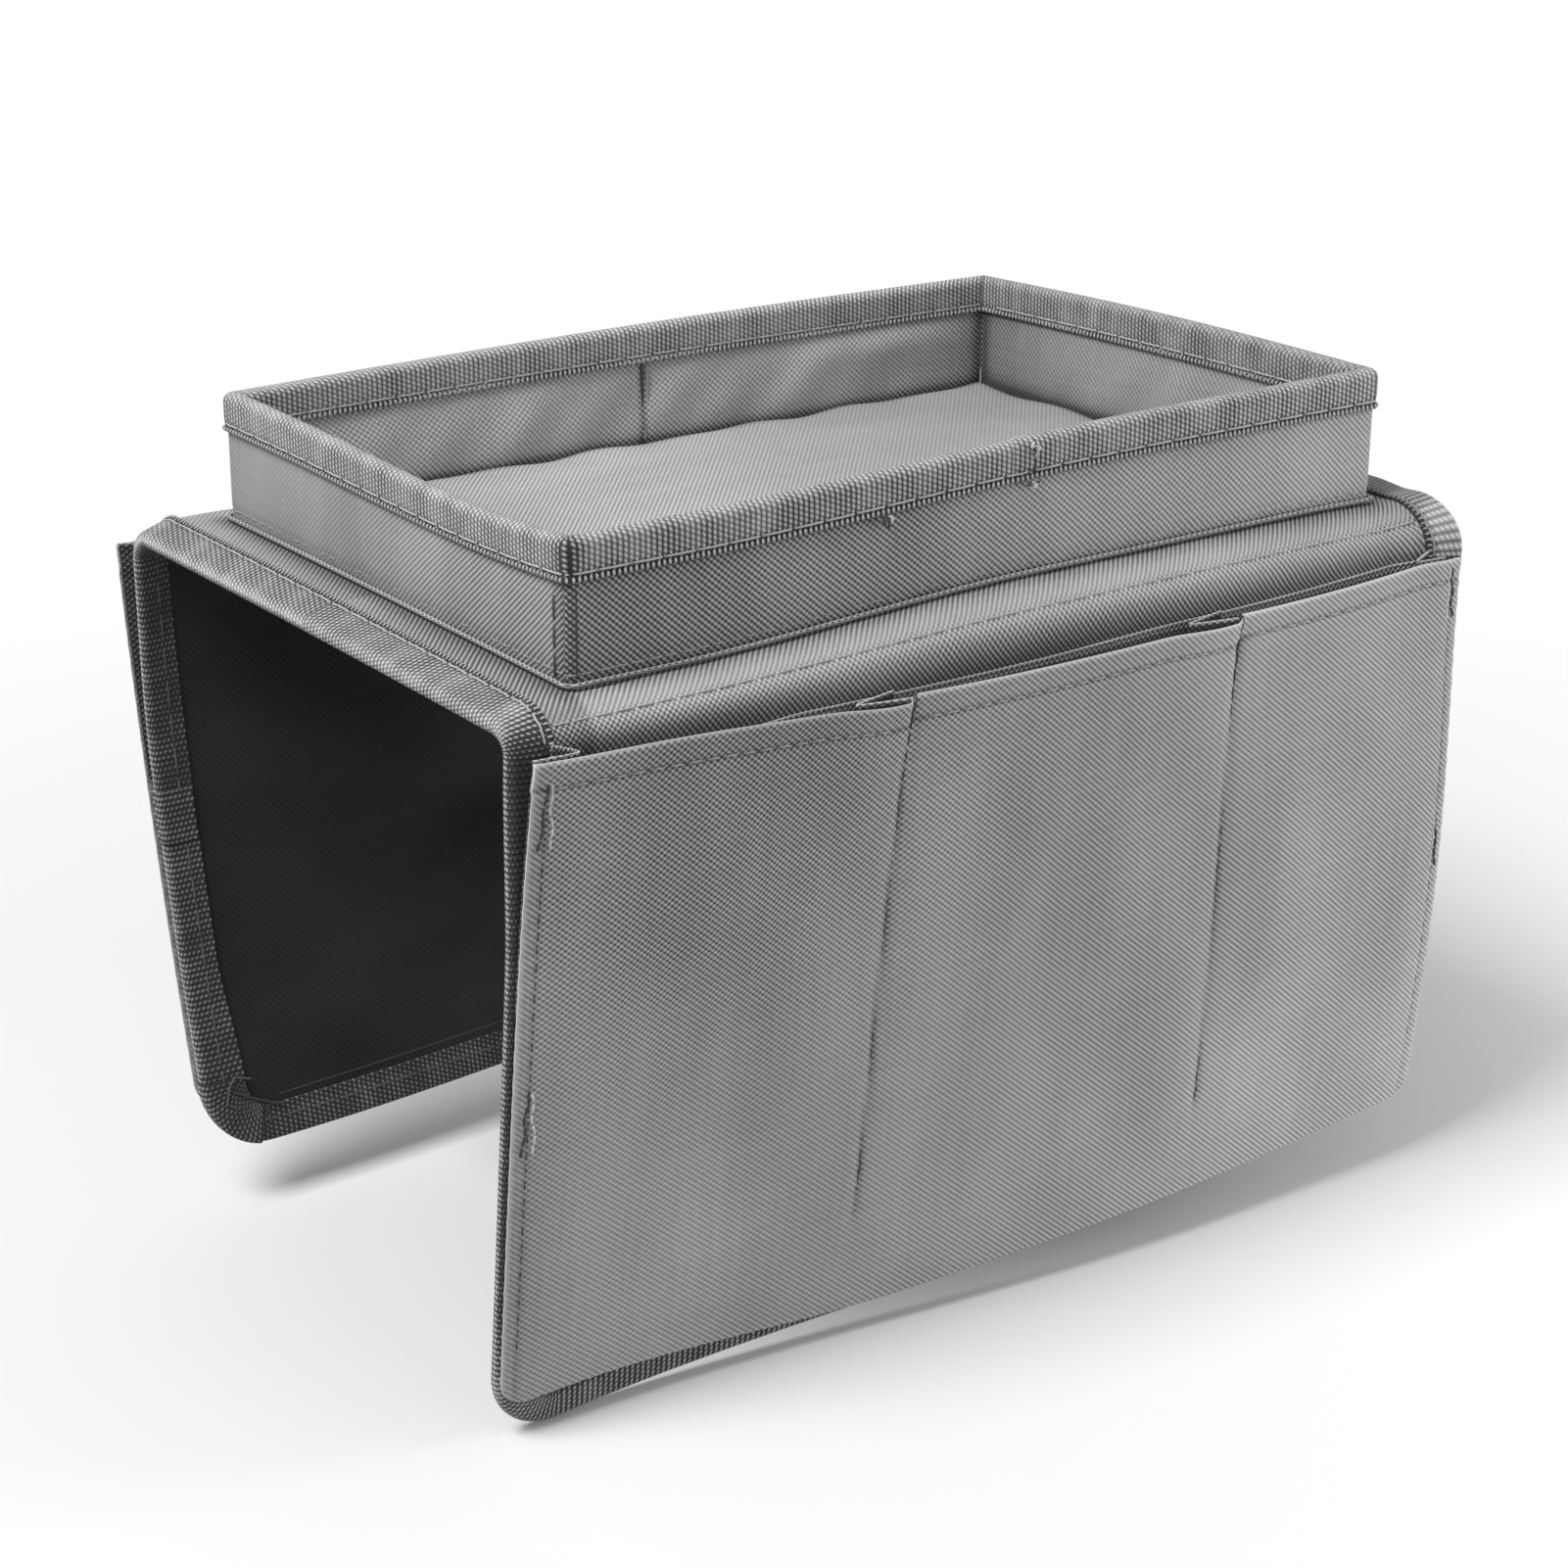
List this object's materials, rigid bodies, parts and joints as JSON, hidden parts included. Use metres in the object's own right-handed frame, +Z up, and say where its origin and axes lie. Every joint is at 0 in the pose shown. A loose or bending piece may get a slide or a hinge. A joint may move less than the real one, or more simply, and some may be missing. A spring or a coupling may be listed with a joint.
{
  "type": "sofa armrest tray",
  "caption": "Cloth saddle for a sofa arm: a bound, board-walled tray sewn on top, and hanging flaps with pleated pockets on the front and the back.",
  "frame": {"origin": "middle of the lining's underside, where the saddle lies on the sofa arm", "axes": "+X along the arm, +Z up, -Y towards the front flap with its three pockets"},
  "size_m": [0.321, 0.236, 0.2486],
  "materials": {
    "cloth": "matte",
    "binding_tape": "matte",
    "lining": "matte",
    "board": "matte",
    "padding": "matte"
  },
  "bodies": {
    "saddle": {"back_fold_binding_left": "binding_tape", "back_fold_binding_right": "binding_tape", "back_fold_cover": "cloth", "back_fold_lining": "lining", "front_fold_binding_left": "binding_tape", "front_fold_binding_right": "binding_tape", "front_fold_cover": "cloth", "front_fold_lining": "lining", "top_binding_left": "binding_tape", "top_binding_right": "binding_tape", "top_board": "board", "top_cover": "cloth", "top_lining": "lining", "tray_board_back": "board", "tray_board_front": "board", "tray_board_left": "board", "tray_board_right": "board", "tray_floor_board": "board", "tray_floor_cloth": "cloth", "tray_inner_cloth": "cloth", "tray_outer_cloth": "cloth", "tray_rim_binding": "binding_tape", "tray_seam_bead": "cloth"},
    "front_flap": {"front_flap_binding": "binding_tape", "front_flap_cover": "cloth", "front_flap_lining": "lining", "front_flap_padding": "padding", "front_pleat_divider_1": "cloth", "front_pleat_divider_2": "cloth", "front_pleat_left": "cloth", "front_pleat_right": "cloth", "front_pocket_backing": "cloth", "front_pocket_cloth": "cloth"},
    "back_flap": {"back_flap_binding": "binding_tape", "back_flap_cover": "cloth", "back_flap_lining": "lining", "back_flap_padding": "padding", "back_pleat_divider_1": "cloth", "back_pleat_left": "cloth", "back_pleat_right": "cloth", "back_pocket_backing": "cloth", "back_pocket_cloth": "cloth"}
  },
  "joints": [
    {"name": "front_flap_hinge", "type": "hinge", "parent": "saddle", "child": "front_flap", "pos_m": [0, -0.1038, 0.00042], "axis": [-1, 0, 0], "range_deg": [-20, 90], "deforming": ["front_fold_binding_left", "front_fold_binding_right", "front_fold_cover", "front_fold_lining"]},
    {"name": "back_flap_hinge", "type": "hinge", "parent": "saddle", "child": "back_flap", "pos_m": [0, 0.1038, 0.00042], "axis": [1, 0, 0], "range_deg": [-20, 90], "deforming": ["back_fold_binding_left", "back_fold_binding_right", "back_fold_cover", "back_fold_lining"]}
  ]
}
